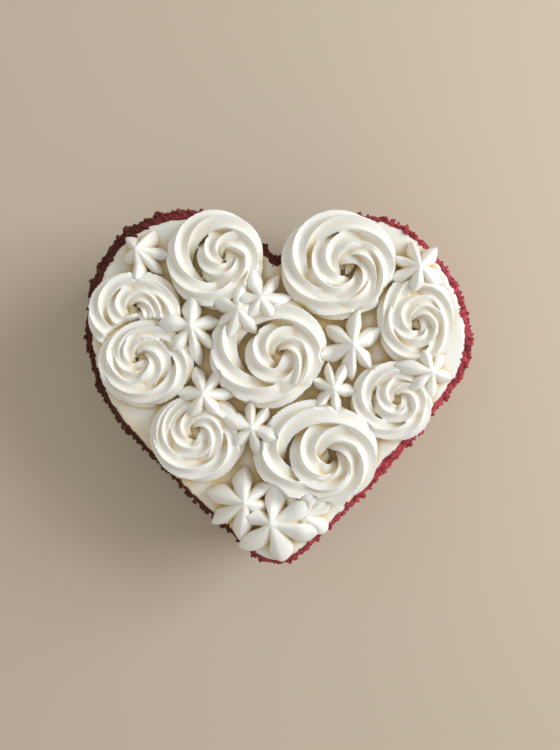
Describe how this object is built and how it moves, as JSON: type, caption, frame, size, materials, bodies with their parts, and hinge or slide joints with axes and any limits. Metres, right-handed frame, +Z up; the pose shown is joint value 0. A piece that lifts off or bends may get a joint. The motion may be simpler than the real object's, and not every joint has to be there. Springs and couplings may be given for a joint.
{
  "type": "heart shaped cake",
  "caption": "Heart shaped layer cake with a red crumb coat, its white cream top covered by piped rosettes and piped stars.",
  "frame": {"origin": "middle of the cake's bounding box, on the plane that it stands on", "axes": "+Z up, -Y towards the tip of the heart, +X towards the lobe that is on the right from above with the tip towards the viewer"},
  "size_m": [0.2038, 0.187, 0.0817],
  "materials": {
    "red_crumb": "rough dry crumbs, deep red",
    "cream_coat": "smooth soft ivory cream",
    "piped_cream": "satin ivory whipped cream"
  },
  "bodies": {
    "root": {"cake_body": "red_crumb", "cream_top": "cream_coat", "rosette_left": "piped_cream", "rosette_left_lower": "piped_cream", "rosette_lower_left": "piped_cream", "rosette_lower_right": "piped_cream", "rosette_middle": "piped_cream", "rosette_right": "piped_cream", "rosette_right_lower": "piped_cream", "rosette_top_left": "piped_cream", "rosette_top_right": "piped_cream", "star_centre_left": "piped_cream", "star_centre_low": "piped_cream", "star_left": "piped_cream", "star_notch_left": "piped_cream", "star_notch_right": "piped_cream", "star_right": "piped_cream", "star_right_edge": "piped_cream", "star_right_small": "piped_cream", "star_tip": "piped_cream", "star_tip_left": "piped_cream", "star_tip_right": "piped_cream", "star_top_left": "piped_cream", "star_top_right": "piped_cream"}
  },
  "joints": []
}
